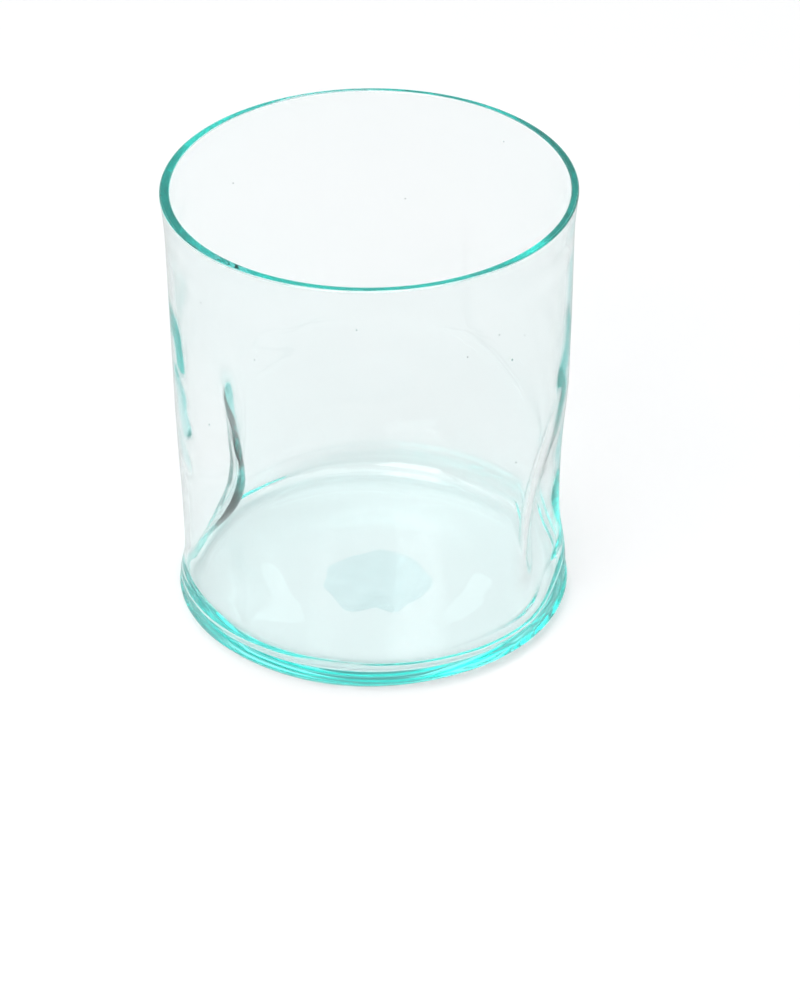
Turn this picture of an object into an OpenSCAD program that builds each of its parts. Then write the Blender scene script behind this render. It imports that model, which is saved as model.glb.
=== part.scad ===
// Hand-blown rocks glass with two pinched dimples, standing on its foot at z = 0.
// The dimples lie on the X axis. All sizes are in millimetres.

/* [Vessel] */
// Height from the foot to the top of the lip
height = 94.5; // [80:0.5:115]
// Outside diameter of the lip
lip_d = 82; // [76:0.5:90]
// Outside diameter of the wall just below the flare of the lip
wall_d = 80.8; // [74:0.2:88]
// Outside diameter of the wall just above the swell at the heel
waist_d = 78.4; // [74:0.2:88]
// Thickness of the blown wall
wall_t = 1.5; // [1.2:0.1:3]
// Thickness of the fire-polished bead round the lip
lip_t = 1.8; // [1.2:0.1:3]
// Height over which the wall flares out to the lip
flare_h = 9; // [5:0.5:16]

/* [Base] */
// Outside diameter of the swell at the heel
heel_d = 81.8; // [76:0.2:90]
// Radius of the heel between the foot and the wall
heel_r = 6.2; // [3:0.2:9]
// Height over which the swell at the heel fades into the wall
heel_fade = 9; // [7:0.5:20]
// Height of the inside floor above the table
floor_h = 4; // [3:0.1:10]
// Radius of the curve between the inside wall and the floor
floor_r = 3.8; // [2:0.1:6]
// Thickness of the wall where it meets the floor
base_t = 4.2; // [2:0.1:7]
// Height over which the wall thins from there to its own thickness
base_fade = 6.5; // [5:0.5:20]
// How much thinner it is there in line with the dimples, where the pinching drew it out
base_thin = 2; // [0:0.1:2.6]
// How far the pinching draws in the base, in line with the dimples
base_pinch = 0.8; // [0:0.1:2]
// Diameter of the hollow under the base, where it leaves the foot
kick_d = 60; // [50:1:64]
// Diameter of the flat roof of that hollow
kick_roof_d = 28; // [26:1:40]
// Height of the hollow under the base
kick_h = 0.6; // [0.5:0.1:2.4]

/* [Dimples] */
// Depth of the dimple on the +X side
right_dimple_depth = 5.5; // [3:0.5:12]
// Depth of the dimple on the -X side
left_dimple_depth = 10; // [3:0.5:12]
// Height of the deepest point of both dimples
dimple_z = 21; // [18:1:36]
// Reach of a dimple above its deepest point
dimple_up = 34; // [24:1:42]
// Reach of a dimple below its deepest point
dimple_down = 24; // [12:1:28]
// Reach of a dimple to each side, along the wall
dimple_side = 20; // [12:0.5:24]

/* [Pontil mark] */
// Mean diameter of the broken patch
pontil_d = 22; // [14:0.5:24]
// Mean thickness of the broken patch
pontil_t = 0.4; // [0.2:0.1:0.5]
// How far the edge and the broken face stray from their mean size
pontil_chip = 0.12; // [0.02:0.02:0.16]
// Place of the patch along X
pontil_x = 1.5; // [-4:0.5:4]
// Place of the patch along Y
pontil_y = -2; // [-4:0.5:4]

/* [Hidden] */

glass_aqua = [0.75, 0.93, 0.92, 0.55];
glass_frosted = [0.62, 0.84, 0.86, 0.8];

// Facets round the glass and along each stretch of its section
sides = 64;
kick_steps = 5;
heel_steps = 6;
wall_steps = 17;
lip_steps = 6;
corner_steps = 5;

// The blown base sags this far below the table plane before the foot is flattened there
foot_sag = 0.05;

wall_top = height - lip_t / 2;
wall_bottom = heel_r - foot_sag;
mark_sides = 22;
mark_seed = 7;

// 0 below u = 0, 1 above u = 1 and a smooth step between
function ease(u) = u <= 0 ? 0 : u >= 1 ? 1 : (1 - cos(180 * u)) / 2;

// Smallest turn between two directions, in degrees
function turn(a, b) = abs((a - b + 540) % 360 - 180);

// Outside radius of the undimpled wall at height z
function wall_radius(z) =
    let (
        straight = waist_d / 2 + (wall_d - waist_d) / 2 * (z - wall_bottom) / (wall_top - wall_bottom),
        swell = (heel_d / 2 - straight) * (1 - ease((z - wall_bottom) / heel_fade)),
        flare = (lip_d / 2 - straight) * pow(max(0, (z - wall_top) / flare_h + 1), 2)
    )
    straight + swell + flare;

// 1 at the inside floor and 0 where the wall has thinned to its own thickness
function base_share(z) = max(0, 1 - (z - floor_h) / base_fade);

// Wall thickness at height z, from the thick base to the bead at the lip
function wall_thickness(z) =
    wall_t
    + (base_t - wall_t) * base_share(z)
    + (lip_t - wall_t) * ease((z - wall_top) / flare_h + 1);

// Depth of one dimple, centred on direction a0, at direction a and height z; it dies out at the heel
function dimple(depth, a0, a, z) =
    let (
        across = turn(a, a0) * PI / 180 * waist_d / 2 / dimple_side,
        along = (z - dimple_z) / (z > dimple_z ? dimple_up : dimple_down)
    )
    depth * (1 - ease(norm([across, along]))) * ease(z / heel_r / 2);

// Share of its radius that the glass keeps at direction a and height z
function squeeze(a, z) =
    let (
        right = dimple(right_dimple_depth, 0, a, z),
        left = dimple(left_dimple_depth, 180, a, z),
        base = base_pinch * pow(cos(a), 2) * (1 - ease((z - wall_bottom) / heel_fade))
    )
    1 - (right + left + base) * 2 / waist_d;

function arc(centre, r, from, to, steps) =
    [for (i = [1:steps]) let (a = from + (to - from) * i / steps) centre + r * [cos(a), sin(a)]];

// Section from the roof of the hollow, round the foot, up the outside and down the inside to the floor.
// Points of the inside carry their share of the base as a third number.
kick_section = [
    for (i = [0:kick_steps])
        let (u = i / kick_steps)
        [(kick_roof_d + (kick_d - kick_roof_d) * u) / 2, kick_h - (kick_h + foot_sag) * ease(u)]
];
heel_start = [heel_d / 2 - heel_r, -foot_sag];
heel_section = arc([heel_d / 2 - heel_r, wall_bottom], heel_r, -90, 0, heel_steps);
outer_wall = [
    for (i = [1:wall_steps])
        let (z = wall_bottom + (wall_top - wall_bottom) * i / wall_steps)
        [wall_radius(z), z]
];
lip_section = arc([(lip_d - lip_t) / 2, wall_top], lip_t / 2, 0, 180, lip_steps);
inner_bottom = floor_h + floor_r;
inner_lean = atan((base_t - wall_t) / base_fade);
corner_centre = [
    wall_radius(inner_bottom) - wall_thickness(inner_bottom) - floor_r / cos(inner_lean), inner_bottom
];
inner_wall = [
    for (i = [1:wall_steps])
        let (z = wall_top + (inner_bottom - wall_top) * i / wall_steps)
        [wall_radius(z) - wall_thickness(z), z, base_share(z)]
];
corner_section = [
    for (p = arc(corner_centre, floor_r, -inner_lean, -90, corner_steps))
        [p.x, p.y, base_share(p.y)]
];
section = concat(
    kick_section, [heel_start], heel_section, outer_wall, lip_section, inner_wall, corner_section
);

// A closed skin of revolution whose every ring is squeezed by the dimples and thinned at the base
module blown_skin() {
    rings = len(section);
    points = concat(
        [for (p = section, i = [0:sides - 1])
            let (
                a = 360 * i / sides,
                thinning = is_undef(p.z) ? 0 : base_thin * p.z * pow(cos(a), 2),
                r = p.x * squeeze(a, p.y) + thinning
            )
            [r * cos(a), r * sin(a), p.y]],
        [[0, 0, kick_h], [0, 0, floor_h]]
    );
    roof = rings * sides;
    floor_centre = roof + 1;
    last = (rings - 1) * sides;
    faces = concat(
        [for (i = [0:sides - 1]) [roof, i, (i + 1) % sides]],
        [for (k = [0:rings - 2], i = [0:sides - 1], half = [0, 1])
            let (
                j = (i + 1) % sides,
                here = k * sides,
                next = here + sides
            )
            half == 0 ? [here + i, next + i, next + j] : [here + i, next + j, here + j]],
        [for (i = [0:sides - 1]) [floor_centre, last + (i + 1) % sides, last + i]]
    );
    polyhedron(points, faces);
}

// The blown vessel: one gather of glass, flattened where it stands
module tumbler() {
    color(glass_aqua)
        difference() {
            blown_skin();
            translate([-heel_d, -heel_d, -heel_r])
                cube([2 * heel_d, 2 * heel_d, heel_r]);
        }
}

// The stub that the rod left behind when it was cracked off, fused to the roof of the hollow
module pontil_mark() {
    chips = rands(-pontil_chip, pontil_chip, 3 * mark_sides + 1, mark_seed);
    points = concat(
        [for (i = [0:mark_sides - 1])
            let (a = 360 * i / mark_sides, r = pontil_d / 2 * (1 + chips[i]))
            [r * cos(a), r * sin(a), kick_h]],
        [for (i = [0:mark_sides - 1])
            let (
                a = 360 * (i + 0.5) / mark_sides,
                r = pontil_d / 4 * (1 + chips[mark_sides + i]),
                drop = pontil_t * (1 + 2 * chips[2 * mark_sides + i])
            )
            [r * cos(a), r * sin(a), kick_h - drop]],
        [[0, 0, kick_h], [0, 0, kick_h - pontil_t * (1 + 2 * chips[3 * mark_sides])]]
    );
    seat = 2 * mark_sides;
    tip = seat + 1;
    faces = concat(
        [for (i = [0:mark_sides - 1]) [seat, (i + 1) % mark_sides, i]],
        [for (i = [0:mark_sides - 1], half = [0, 1])
            let (j = (i + 1) % mark_sides, low = mark_sides)
            half == 0 ? [i, j, low + i] : [low + i, j, low + j]],
        [for (i = [0:mark_sides - 1]) [tip, mark_sides + i, mark_sides + (i + 1) % mark_sides]]
    );
    color(glass_frosted)
        translate([pontil_x, pontil_y, 0])
            polyhedron(points, faces);
}

tumbler();
pontil_mark();
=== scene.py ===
"""A hand-blown rocks glass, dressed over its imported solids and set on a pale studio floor.

Sizes are in millimetres, as in the part's source, and become metres where a mesh is made.
"""
import math

import bmesh
import bpy
from mathutils import Matrix, Vector, noise


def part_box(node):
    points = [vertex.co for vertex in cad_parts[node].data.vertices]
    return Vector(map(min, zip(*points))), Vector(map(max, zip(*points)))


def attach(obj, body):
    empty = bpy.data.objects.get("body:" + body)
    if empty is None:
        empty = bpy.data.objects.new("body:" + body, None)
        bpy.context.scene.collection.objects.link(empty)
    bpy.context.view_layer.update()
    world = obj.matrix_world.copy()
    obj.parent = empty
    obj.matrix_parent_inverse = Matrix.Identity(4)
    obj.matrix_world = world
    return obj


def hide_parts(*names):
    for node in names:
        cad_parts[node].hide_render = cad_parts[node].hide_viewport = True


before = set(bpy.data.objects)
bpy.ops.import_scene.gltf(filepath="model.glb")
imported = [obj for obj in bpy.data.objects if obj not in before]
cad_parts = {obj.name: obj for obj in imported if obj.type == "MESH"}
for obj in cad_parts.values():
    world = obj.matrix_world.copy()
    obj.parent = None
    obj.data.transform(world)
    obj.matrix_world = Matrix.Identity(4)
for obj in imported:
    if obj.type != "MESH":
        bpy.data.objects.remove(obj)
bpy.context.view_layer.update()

MM = 0.001
TINY = 1e-6

# Section of the glass: the sizes of the solids, but with a flatter lip and a shorter foot of the wall
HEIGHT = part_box("tumbler")[1].z / MM
LIP_R = 41.0
LIP_T = 1.8
LIP_ROUND = 0.45
FLARE_H = 9.0
WALL_R = 40.4
WAIST_R = 39.2
WALL_T = 1.5
HEEL_R = 40.9
HEEL_ROUND = 6.2
HEEL_FADE = 9.0
FLOOR_H = 4.0
FLOOR_ROUND = 2.5
BASE_T = 4.2
BASE_FADE = 4.5
BASE_PINCH = 0.8
KICK_R = 30.0
KICK_ROOF_R = 14.0
KICK_H = 0.6

# How much thinner the foot of the wall is in line with the dimples, from which radius and over what reach
BASE_THIN = 2.0
BASE_THIN_FROM = LIP_R / 2
BASE_THIN_OVER = LIP_R / 3

# Dimples: direction and depth of the +X one, then of the -X one
DIMPLES = ((0.0, 5.5), (180.0, 10.0))
DIMPLE_Z = 21.0
DIMPLE_UP = 34.0
DIMPLE_DOWN = 24.0
DIMPLE_SIDE = 20.0

# Waves that the blowing left in the wall: drawn out upwards, fading at both ends, and other ones inside
WAVE_H = 0.10
WAVE_LENGTH = 17.0
WAVE_UPRIGHT = 0.6
WAVE_FROM = 8.0
WAVE_FADE = 12.0
WAVE_INSIDE = Vector((40, 0, 0))

# Waves in the floor and the heel, and the radii and heights between which they fade in, then out
BASE_WAVE_H = 0.08
BASE_WAVE_LENGTH = 9.0
BASE_WAVE_UPRIGHT = 2.0
BASE_WAVE_RADII = (15.0, 30.0)
BASE_WAVE_RISE = (1.0, 3.0)
BASE_WAVE_FALL = (6.0, 12.0)

# Thickness of the lip drifts by this much, thickest in this direction
LIP_DRIFT = 0.25
LIP_DRIFT_AT = -150.0

# Terraces inside, where the pinching left the back of the wall thicker: side, turn of the edge from the back
# at the dimples' height, its slant in degrees per millimetre, the step, and the heights between which it runs
BACK_AT = 107.0
TERRACES = (
    (1, 102.0, 0.0, 0.36, 34.0, 73.0), (1, 66.0, -0.8, 0.7, 4.0, 42.0), (-1, 100.0, 0.0, 0.25, 22.0, 64.0),
)
# Width and waver of the edge in degrees, length of a waver, fade at the ends, and the turn where it sets in
TERRACE_WIDTH = 9.0
TERRACE_WAVER = 8.0
TERRACE_BREAK = 5.0
TERRACE_FADE = 10.0
TERRACE_FROM = -20.0
TERRACE_RISE = 60.0

# Mesh: faces round the glass and cuts along its long stretches, before one subdivision
SIDES = 128
SECTION_STEP = 2.2
ROUND_STEPS = 8
MERGE_WITHIN = 0.0001
SHARP_ANGLE = 40.0

# Small air bubbles in the wall: direction in degrees, height and diameter
SEEDS = (
    (-107.0, 75.0, 0.3), (-126.5, 54.5, 0.4), (-127.5, 82.0, 0.3), (-35.0, 79.0, 0.35), (-25.0, 76.0, 0.3),
    (-12.0, 72.5, 0.3), (-45.5, 76.5, 0.3), (-30.0, 72.0, 0.5), (-27.5, 47.5, 0.4), (63.0, 88.5, 0.3),
    (20.0, 64.0, 0.35), (112.0, 41.0, 0.4), (96.0, 70.0, 0.3), (-160.0, 68.0, 0.35), (152.0, 80.0, 0.3),
)

# Pontil mark, fused under the base with a hair's gap, and how far its edge and its face stray
PONTIL_R = 11.0
PONTIL_T = 0.4
PONTIL_AT = (1.5, -2.0)
PONTIL_GAP = 0.03
PONTIL_SIDES = 48
PONTIL_TAPER = 0.5
PONTIL_RINGS = 3
RAGGED_LENGTH = 5.3
RAGGED = 0.2
CHIP_LENGTH = 2.7
CHIPPED = 0.25

# Glass: refraction, and how strongly it takes up red along the way of the light, per metre
GLASS_IOR = 1.52
TINT_DENSITY = 22.0

# Camera: turned from the dimples' axis, at the photograph's height and distance
CAMERA_TURN = 17.0
CAMERA_REACH = 656.0
CAMERA_HEIGHT = 457.1
CAMERA_TILT = 33.64
CAMERA_YAW = 0.49
CAMERA_ROLL = -0.39
CAMERA_LENS = 137.8

# Studio paper, and its lift to white for the eye and through the glass, and a brighter glow through the glass
# under the base, which is a painted pool of light
FLOOR_GAP = 0.05
FLOOR_REACH = 600.0
PAPER = "#b3b3b3"
PAPER_TINT = "#fcfdff"
PAPER_LIFT = 0.385
LIFT_THROUGH = 0.35
PAINTED_LIGHT_UNDER_BASE = 0.445

# Room: its light on the paper, and its brightness in the glass, which is white for rays that rise less than
# the first share of their length and dim for those that rise more than the second
ROOM_LIGHT = 0.25
ROOM_SEEN = 0.5
ROOM_WHITE_TO = 0.1
ROOM_DIM_FROM = 0.35

# Lamps: place in metres as the camera sees it, width in metres and power in watts
LAMPS = (
    ("overhead lamp", (0.0, -0.3, 1.3), 2.0, 26.0),
    ("front lamp", (-0.7, -1.6, 0.45), 2.4, 8.0),
    ("side lamp", (-0.40, -0.66, 0.92), 0.6, 5.0),
    ("left back lamp", (-0.68, 1.28, 1.22), 0.8, 2.4),
    ("right back lamp", (0.68, 1.28, 1.22), 0.8, 2.4),
)


def linear(hex_colour):
    """An sRGB hex colour as linear RGBA."""
    shares = [int(hex_colour[i:i + 2], 16) / 255 for i in (1, 3, 5)]
    return tuple(s / 12.92 if s <= 0.04045 else ((s + 0.055) / 1.055) ** 2.4 for s in shares) + (1.0,)


def add(tree, kind, links=None, **settings):
    """Adds one node: settings name its properties or inputs, links give what feeds its inputs."""
    node = tree.nodes.new(kind)
    sockets = {s.name.lower().replace(" ", "_"): s for s in node.inputs if s.enabled}
    for name, value in settings.items():
        if name in sockets:
            sockets[name].default_value = value
        else:
            setattr(node, name, value)
    for name, source in (links or {}).items():
        tree.links.new(source, node.inputs[name])
    return node


def new_material(name):
    """An empty node material and its output node."""
    material = bpy.data.materials.new(name)
    material.use_nodes = True
    tree = material.node_tree
    tree.nodes.clear()
    return material, tree, add(tree, "ShaderNodeOutputMaterial")


def new_piece(name, bm, material):
    """A smooth-shaded object at the origin from a finished bmesh."""
    mesh = bpy.data.meshes.new(name)
    for face in bm.faces:
        face.smooth = True
    bm.to_mesh(mesh)
    bm.free()
    mesh.set_sharp_from_angle(angle=math.radians(SHARP_ANGLE))
    mesh.materials.append(material)
    piece = bpy.data.objects.new(name, mesh)
    bpy.context.scene.collection.objects.link(piece)
    return piece


def ease(u):
    """0 below u = 0, 1 above u = 1 and a smooth step between."""
    return (1 - math.cos(math.pi * min(max(u, 0), 1))) / 2


def turned(angle, centre):
    """Turn of a direction from a central one, from -180 to 180 degrees."""
    return (angle - centre + 540) % 360 - 180


def wall_radius(z):
    """Outside radius of the wall before it is dimpled."""
    top = HEIGHT - LIP_T / 2
    straight = WAIST_R + (WALL_R - WAIST_R) * (z - HEEL_ROUND) / (top - HEEL_ROUND)
    swell = (HEEL_R - straight) * (1 - ease((z - HEEL_ROUND) / HEEL_FADE))
    flare = (LIP_R - straight) * max(0, (z - top) / FLARE_H + 1) ** 2
    return straight + swell + min(flare, LIP_R - straight)


def squeeze(angle, z):
    """Share of its radius that the glass keeps where the dimples and the pinched base draw it in."""
    along = (z - DIMPLE_Z) / (DIMPLE_UP if z > DIMPLE_Z else DIMPLE_DOWN)
    depth = 0
    for centre, full in DIMPLES:
        across = math.radians(turned(angle, centre)) * WAIST_R / DIMPLE_SIDE
        depth += full * (1 - ease(math.hypot(across, along)))
    base = BASE_PINCH * math.cos(math.radians(angle)) ** 2 * (1 - ease((z - HEEL_ROUND) / HEEL_FADE))
    return 1 - (depth * ease(z / (2 * HEEL_ROUND)) + base) / WAIST_R


def unevenness(co, z, outside):
    """How far the blown surface strays, in or out, at a point of the wall."""
    fade = ease((z - WAVE_FROM) / WAVE_FADE) * ease((HEIGHT - z) / WAVE_FADE)
    spot = Vector((co.x, co.y, co.z * WAVE_UPRIGHT)) / (WAVE_LENGTH * MM)
    if not outside:
        spot += WAVE_INSIDE
    return WAVE_H * fade * noise.noise(spot)


def base_unevenness(co, r, z):
    """How far the floor lies high or low, or the heel in or out, at a point of the base."""
    fade = 1
    for value, (start, end) in ((r, BASE_WAVE_RADII), (z, BASE_WAVE_RISE), (z, BASE_WAVE_FALL[::-1])):
        fade *= ease((value - start) / (end - start))
    spot = Vector((co.x, co.y, co.z * BASE_WAVE_UPRIGHT)) / (BASE_WAVE_LENGTH * MM)
    return BASE_WAVE_H * fade * noise.noise(spot)


def terraces(angle, z):
    """How much thicker the wall is behind the wavering edges that the pinching left."""
    total = 0
    for side, edge, slant, step, low, high in TERRACES:
        turn = side * turned(angle, BACK_AT)
        waver = TERRACE_WAVER * noise.noise(Vector((edge, side, z / TERRACE_BREAK)))
        past = turn - edge - slant * (z - DIMPLE_Z) - waver
        here = (1 - ease(past / TERRACE_WIDTH)) * ease((turn - TERRACE_FROM) / TERRACE_RISE)
        total += step * here * ease((z - low) / TERRACE_FADE) * ease((high - z) / TERRACE_FADE)
    return total


def base_thinning(angle, r, z):
    """How much thinner the foot of the wall is in line with the dimples, where the pinching drew it out."""
    low = min(max(0, 1 - (z - FLOOR_H) / BASE_FADE), 1) * ease((r - BASE_THIN_FROM) / BASE_THIN_OVER)
    return BASE_THIN * low * math.cos(math.radians(angle)) ** 2


def lip_drift(angle, z):
    """How far the bore strays from the middle at the lip."""
    return LIP_DRIFT * math.cos(math.radians(angle - LIP_DRIFT_AT)) * ease((z - HEIGHT) / FLARE_H + 1)


def section(bm):
    """The straight-sided section of the glass in the XZ plane, with its corners rounded."""
    corners = (
        (0, 0, 0), (LIP_R, 0, HEEL_ROUND), (LIP_R, HEIGHT, LIP_ROUND), (LIP_R - LIP_T, HEIGHT, LIP_ROUND),
        (LIP_R - WALL_T, HEIGHT - FLARE_H, FLARE_H / 3), (LIP_R - WALL_T, FLOOR_H + BASE_FADE, BASE_FADE / 2),
        (LIP_R - BASE_T, FLOOR_H, FLOOR_ROUND), (0, FLOOR_H, 0),
    )
    places = [Vector((r * MM, 0, z * MM)) for r, z, _ in corners]
    verts = [bm.verts.new(place) for place in places]
    for pair in zip(verts, verts[1:]):
        bm.edges.new(pair)
    for place, (_, _, radius) in zip(places, corners):
        if radius:
            corner = min(bm.verts, key=lambda v: (v.co - place).length)
            bmesh.ops.bevel(
                bm, geom=[corner], affect="VERTICES", offset=radius * MM, segments=ROUND_STEPS, profile=0.5,
                material=-1,
            )
    for edge in bm.edges[:]:
        cuts = int(edge.calc_length() / (SECTION_STEP * MM))
        if cuts:
            bmesh.ops.subdivide_edges(bm, edges=[edge], cuts=cuts)


def blow(bm):
    """Gives the straight-sided glass its hollow foot, waist, flare, dimples and uneven wall."""
    for vert in bm.verts:
        r = vert.co.xy.length / MM
        z = vert.co.z / MM
        if z < TINY:
            vert.co.z = KICK_H * MM * (1 - ease((r - KICK_ROOF_R) / (KICK_R - KICK_ROOF_R)))
        if r < TINY:
            continue
        angle = math.degrees(math.atan2(vert.co.y, vert.co.x))
        outside = r > LIP_R - WALL_T / 2 or z < FLOOR_H / 2
        new_r = r * wall_radius(z) / LIP_R * squeeze(angle, z) + unevenness(vert.co, z, outside)
        if not outside:
            new_r += base_thinning(angle, r, z) - lip_drift(angle, z) - terraces(angle, z)
        shift = base_unevenness(vert.co, r, z)
        if outside:
            new_r += shift
        else:
            vert.co.z += shift * MM
        vert.co.xy *= new_r / r


def add_seeds(bm):
    """Hollow bubbles in the thickness of the wall, whose faces look into the bubble."""
    for angle, z, diameter in SEEDS:
        middle = (wall_radius(z) - WALL_T / 2) * squeeze(angle, z) * MM
        place = Matrix.Rotation(math.radians(angle), 4, "Z") @ Matrix.Translation((middle, 0, z * MM))
        made = bmesh.ops.create_icosphere(bm, subdivisions=2, radius=diameter * MM / 2, matrix=place)
        faces = {f for v in made["verts"] for f in v.link_faces}
        bmesh.ops.reverse_faces(bm, faces=list(faces))


def blown_tumbler(material):
    """The vessel: its section spun round the axis, blown out of true, with bubbles in the wall."""
    bm = bmesh.new()
    section(bm)
    bmesh.ops.spin(
        bm, geom=bm.verts[:] + bm.edges[:], cent=(0, 0, 0), axis=(0, 0, 1), angle=2 * math.pi, steps=SIDES,
        use_merge=True,
    )
    bmesh.ops.remove_doubles(bm, verts=bm.verts[:], dist=MERGE_WITHIN * MM)
    blow(bm)
    bmesh.ops.recalc_face_normals(bm, faces=bm.faces[:])
    add_seeds(bm)
    return new_piece("blown_tumbler", bm, material)


def broken_pontil(material):
    """A thin flake with a ragged edge and a chipped underside, seated on the roof of the hollow."""
    bm = bmesh.new()
    bmesh.ops.create_circle(bm, cap_ends=True, segments=PONTIL_SIDES, radius=PONTIL_R * MM)
    under = bmesh.ops.extrude_face_region(bm, geom=bm.faces[:])["geom"]
    lower = [v for v in under if isinstance(v, bmesh.types.BMVert)]
    bmesh.ops.scale(bm, vec=(PONTIL_TAPER, PONTIL_TAPER, 1), verts=lower)
    bmesh.ops.translate(bm, vec=(0, 0, -PONTIL_T * MM), verts=lower)
    broken = [f for f in under if isinstance(f, bmesh.types.BMFace)]
    for _ in range(PONTIL_RINGS):
        bmesh.ops.inset_region(bm, faces=broken, thickness=PONTIL_R * MM / 10)
    for vert in bm.verts:
        ragged = noise.noise(vert.co / (RAGGED_LENGTH * MM))
        chip = noise.noise(vert.co / (CHIP_LENGTH * MM))
        vert.co.z *= 1 + CHIPPED * chip
        vert.co.xy *= 1 + RAGGED * ragged
    bmesh.ops.translate(bm, verts=bm.verts[:], vec=Vector((*PONTIL_AT, KICK_H - PONTIL_GAP)) * MM)
    bmesh.ops.recalc_face_normals(bm, faces=bm.faces[:])
    return new_piece("broken_pontil", bm, material)


def soda_lime_glass(name, grain, detail, relief, strength, colour, roughness, tint):
    """Glass with relief of a given grain and height, which tints the light along its way."""
    material, tree, output = new_material(name)
    spot = add(tree, "ShaderNodeTexCoord").outputs["Object"]
    uneven = add(tree, "ShaderNodeTexNoise", {"Vector": spot}, scale=1 / (grain * MM), detail=detail)
    bump = add(
        tree, "ShaderNodeBump", {"Height": uneven.outputs["Fac"]}, strength=strength, distance=relief * MM,
    )
    surface = add(
        tree, "ShaderNodeBsdfPrincipled", {"Normal": bump.outputs["Normal"]}, base_color=linear(colour),
        roughness=roughness, ior=GLASS_IOR, transmission_weight=1.0,
    )
    inside = add(tree, "ShaderNodeVolumeAbsorption", color=linear(tint), density=TINT_DENSITY)
    tree.links.new(surface.outputs["BSDF"], output.inputs["Surface"])
    tree.links.new(inside.outputs["Volume"], output.inputs["Volume"])
    return material


def studio_paper():
    """White card, matt: it keeps the shadow of the glass, and is lifted to white for eye and glass, with a
    painted pool of light under the base where it glows brighter through the glass.
    """
    material, tree, output = new_material("white studio paper")
    path = add(tree, "ShaderNodeLightPath").outputs
    paper = add(tree, "ShaderNodeBsdfDiffuse", color=linear(PAPER), roughness=1.0)
    spot = add(tree, "ShaderNodeTexCoord").outputs["Object"]
    # Painted light: seen through the glass, the paper under the base glows brighter than elsewhere, fading
    # out across the heel
    reach = add(tree, "ShaderNodeVectorMath", {"Vector": spot}, operation="LENGTH")
    through = add(
        tree, "ShaderNodeMapRange", {"Value": reach.outputs["Value"]}, from_min=(HEEL_R - HEEL_ROUND) * MM,
        from_max=HEEL_R * MM, to_min=PAINTED_LIGHT_UNDER_BASE, to_max=LIFT_THROUGH,
    )
    direct = add(tree, "ShaderNodeMapRange", {"Value": path["Is Camera Ray"]}, to_max=PAPER_LIFT)
    lift = add(tree, "ShaderNodeMath", operation="MULTIPLY_ADD")
    sources = (path["Is Transmission Ray"], through.outputs[0], direct.outputs[0])
    for socket, source in zip(lift.inputs, sources):
        tree.links.new(source, socket)
    glow = add(tree, "ShaderNodeEmission", {"Strength": lift.outputs[0]}, color=linear(PAPER_TINT))
    both = add(tree, "ShaderNodeAddShader")
    tree.links.new(paper.outputs[0], both.inputs[0])
    tree.links.new(glow.outputs[0], both.inputs[1])
    tree.links.new(both.outputs[0], output.inputs["Surface"])
    return material


def studio_floor():
    """A sheet of paper just under the foot of the glass."""
    bm = bmesh.new()
    bmesh.ops.create_grid(bm, x_segments=1, y_segments=1, size=FLOOR_REACH * MM)
    bmesh.ops.translate(bm, verts=bm.verts[:], vec=(0, 0, -FLOOR_GAP * MM))
    new_piece("studio_floor", bm, studio_paper())


def studio_room():
    """A dim room that shows white to the eye, and in the glass white near the horizon and pale above."""
    world = bpy.data.worlds.new("pale room")
    bpy.context.scene.world = world
    world.use_nodes = True
    tree = world.node_tree
    tree.nodes.clear()
    path = add(tree, "ShaderNodeLightPath").outputs
    way = add(tree, "ShaderNodeSeparateXYZ", {"Vector": add(tree, "ShaderNodeTexCoord").outputs["Generated"]})
    pale = add(
        tree, "ShaderNodeMapRange", {"Value": way.outputs["Z"]}, from_min=ROOM_WHITE_TO,
        from_max=ROOM_DIM_FROM, to_min=1.0, to_max=ROOM_SEEN,
    )
    shown = add(
        tree, "ShaderNodeMapRange", {"Value": path["Diffuse Depth"], "To Min": pale.outputs[0]},
        to_max=ROOM_LIGHT,
    )
    strength = add(tree, "ShaderNodeMapRange", {"Value": path["Is Camera Ray"], "To Min": shown.outputs[0]})
    sky = add(tree, "ShaderNodeBackground", {"Strength": strength.outputs[0]}, color=linear("#ffffff"))
    output = add(tree, "ShaderNodeOutputWorld")
    tree.links.new(sky.outputs[0], output.inputs["Surface"])


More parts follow.
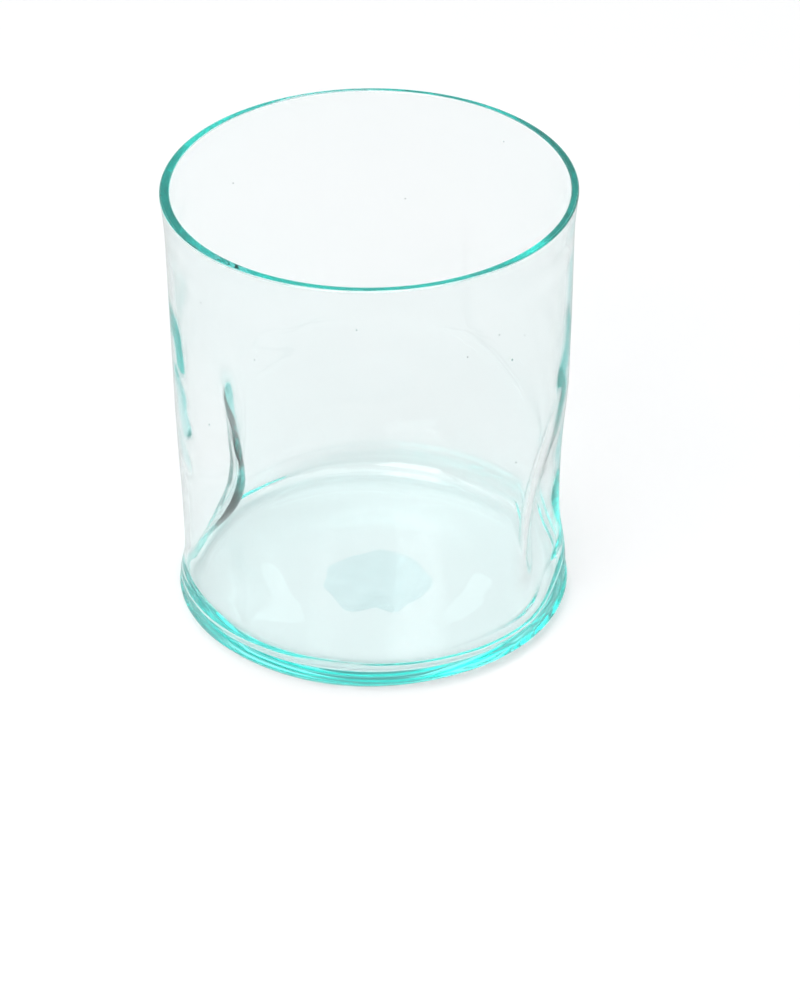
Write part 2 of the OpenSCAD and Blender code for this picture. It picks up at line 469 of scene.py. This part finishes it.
def studio_lamps():
    """Broad soft lamps, placed round the glass as the camera sees it and aimed at its foot."""
    turn = Matrix.Rotation(math.radians(CAMERA_TURN), 3, "Z")
    for name, place, width, power in LAMPS:
        lamp = bpy.data.lights.new(name, "AREA")
        lamp.size = width
        lamp.energy = power
        holder = bpy.data.objects.new(name, lamp)
        holder.location = turn @ Vector(place)
        holder.rotation_euler = (-holder.location).to_track_quat("-Z", "Y").to_euler()
        bpy.context.scene.collection.objects.link(holder)


def photo_camera():
    """The camera of the photograph, above the glass and to the front."""
    data = bpy.data.cameras.new("camera")
    data.lens = CAMERA_LENS
    camera = bpy.data.objects.new("camera", data)
    turn = Matrix.Rotation(math.radians(CAMERA_TURN), 4, "Z")
    aim = (
        Matrix.Rotation(math.radians(CAMERA_TURN - CAMERA_YAW), 4, "Z")
        @ Matrix.Rotation(math.radians(90 - CAMERA_TILT), 4, "X")
        @ Matrix.Rotation(math.radians(CAMERA_ROLL), 4, "Z")
    )
    camera.matrix_world = Matrix.Translation(turn @ Vector((0, -CAMERA_REACH, CAMERA_HEIGHT)) * MM) @ aim
    bpy.context.scene.collection.objects.link(camera)
    bpy.context.scene.camera = camera


photo_camera()
studio_room()
studio_lamps()
studio_floor()

# Recycled soda-lime glass, blown and fire-polished: clear and glossy with broad ripples, and aqua from its
# iron where the way through it is long
blown_glass = soda_lime_glass(
    "blown recycled soda-lime glass", grain=7.0, detail=1.0, relief=0.2, strength=0.06, colour="#ffffff",
    roughness=0.0, tint="#00eae6",
)
tumbler = blown_tumbler(blown_glass)
smooth = tumbler.modifiers.new("smooth skin", "SUBSURF")
smooth.levels = smooth.render_levels = 1
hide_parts("tumbler")
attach(tumbler, "root")

# The same glass where it was cracked off the rod: rough with fine chips, and a little bluer
broken_glass = soda_lime_glass(
    "cracked soda-lime glass", grain=1.5, detail=3.0, relief=0.1, strength=0.3, colour="#f8feff",
    roughness=0.12, tint="#00eae8",
)
pontil = broken_pontil(broken_glass)
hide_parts("pontil_mark")
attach(pontil, "root")

scene = bpy.context.scene
scene.view_settings.view_transform = "Standard"
# Light runs down inside the wall by many reflections before it leaves the base
scene.cycles.max_bounces = 100
scene.cycles.transmission_bounces = 100
scene.cycles.glossy_bounces = 100
scene.cycles.blur_glossy = 0.0
